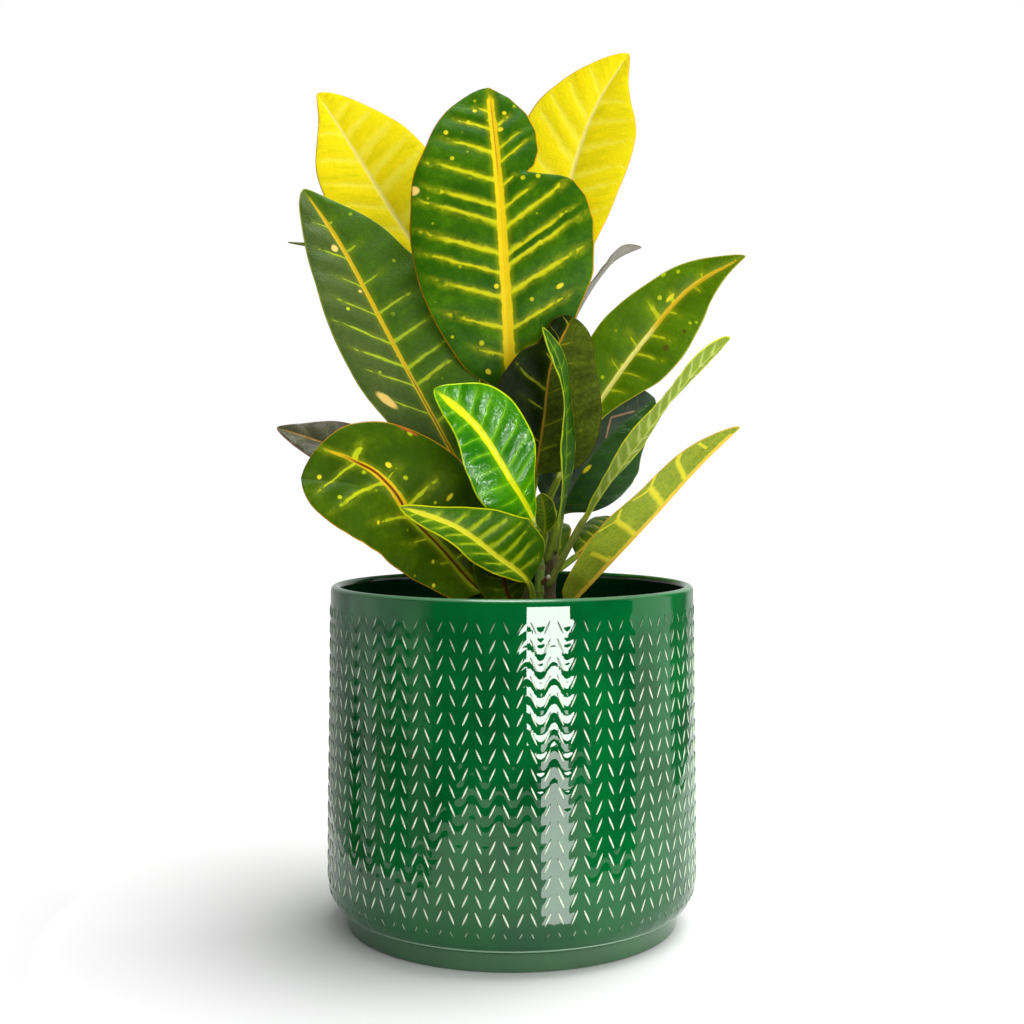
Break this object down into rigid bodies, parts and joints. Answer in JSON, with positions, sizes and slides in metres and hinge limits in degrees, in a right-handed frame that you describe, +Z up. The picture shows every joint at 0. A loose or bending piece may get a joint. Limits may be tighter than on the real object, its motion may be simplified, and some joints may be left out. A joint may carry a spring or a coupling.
{
  "type": "potted plant",
  "caption": "Young croton with broad variegated leaves in a cylindrical green glazed cachepot with a knit relief and a recessed foot.",
  "frame": {"origin": "centre of the cachepot's underside, on the surface it stands on", "axes": "+Z up along the pot's axis, -Y towards the front that the crown leaf faces, +X to the right seen from the front"},
  "size_m": [0.1935, 0.179, 0.3483],
  "materials": {
    "green_glaze": "gloss",
    "black_plastic": "satin",
    "potting_soil": "matte",
    "stem": "satin",
    "dark_leaf": "satin",
    "bright_leaf": "satin",
    "olive_leaf": "satin",
    "yellow_leaf": "satin"
  },
  "bodies": {
    "root": {"pot": "green_glaze", "nursery_pot": "black_plastic", "soil": "potting_soil", "stem_main": "stem", "stem_front": "stem", "stem_back": "stem", "leaf_crown_front": "bright_leaf", "leaf_crown_left": "yellow_leaf", "leaf_crown_right": "yellow_leaf", "leaf_left_upper": "dark_leaf", "leaf_front_young": "bright_leaf", "leaf_left_low": "olive_leaf", "leaf_front_low": "bright_leaf", "leaf_left_far": "olive_leaf", "leaf_left_back": "dark_leaf", "leaf_right_upper": "bright_leaf", "leaf_centre_dark": "dark_leaf", "leaf_centre_narrow": "dark_leaf", "leaf_right_middle": "olive_leaf", "leaf_right_low": "olive_leaf", "leaf_right_back": "dark_leaf", "leaf_crown_back": "dark_leaf", "leaf_front_bud": "bright_leaf", "leaf_low_inner": "olive_leaf", "leaf_rear_top": "dark_leaf", "leaf_rear_left": "dark_leaf", "leaf_rear_right": "dark_leaf", "leaf_rear_low_right": "olive_leaf", "leaf_rear_low_left": "olive_leaf", "leaf_rear_mid": "dark_leaf", "leaf_rear_side_left": "olive_leaf", "leaf_rear_side_right": "dark_leaf", "leaf_crown_small": "bright_leaf", "leaf_rear_low": "olive_leaf"}
  },
  "joints": []
}
